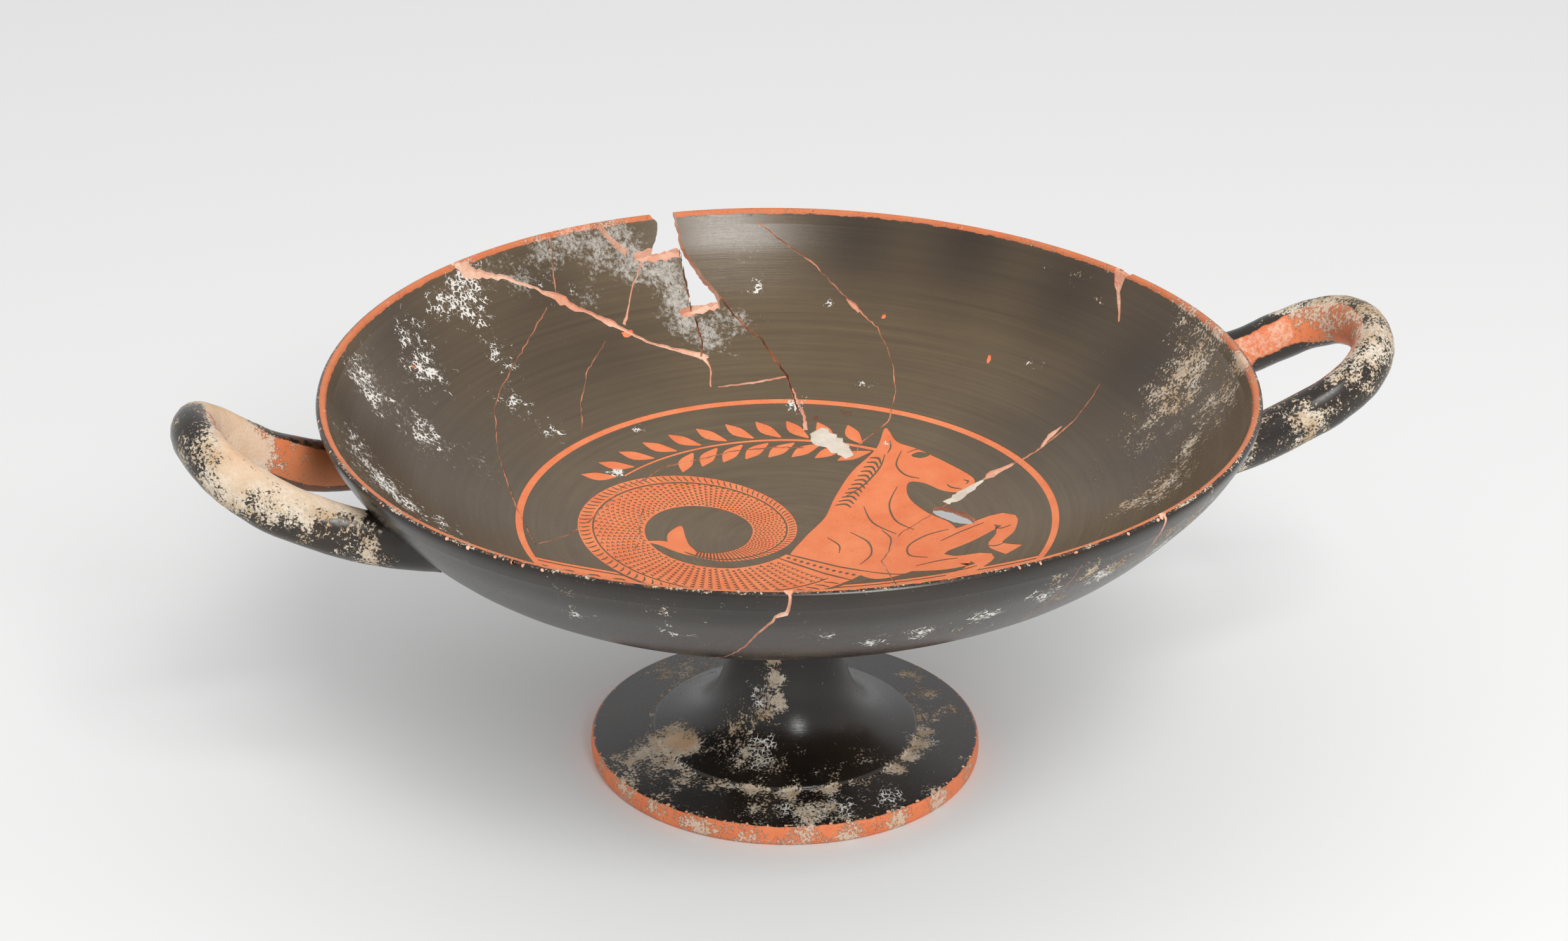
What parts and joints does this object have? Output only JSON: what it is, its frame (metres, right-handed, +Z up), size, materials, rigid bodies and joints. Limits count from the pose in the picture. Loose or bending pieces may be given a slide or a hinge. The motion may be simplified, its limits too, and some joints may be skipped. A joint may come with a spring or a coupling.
{
  "type": "greek kylix cup",
  "caption": "Ancient wine cup: wide shallow black-glazed bowl with a painted round inside, short stem on a disc foot, loop handles, mended with a gap in the rim.",
  "frame": {"origin": "midway between the handles' tips, in the plane that the foot's resting ring stands on; the cup's own axis is 6.1 mm towards -X from it, because one handle reaches further", "axes": "+Z up along the stem, +X out through the middle of the handle with the longer reach, +Y towards the gap in the rim"},
  "size_m": [0.4278, 0.3217, 0.1525],
  "materials": {
    "fired_clay": "black gloss slip over orange fired clay, worn, chipped and crusted"
  },
  "bodies": {
    "root": {"cup": "fired_clay"}
  },
  "joints": []
}
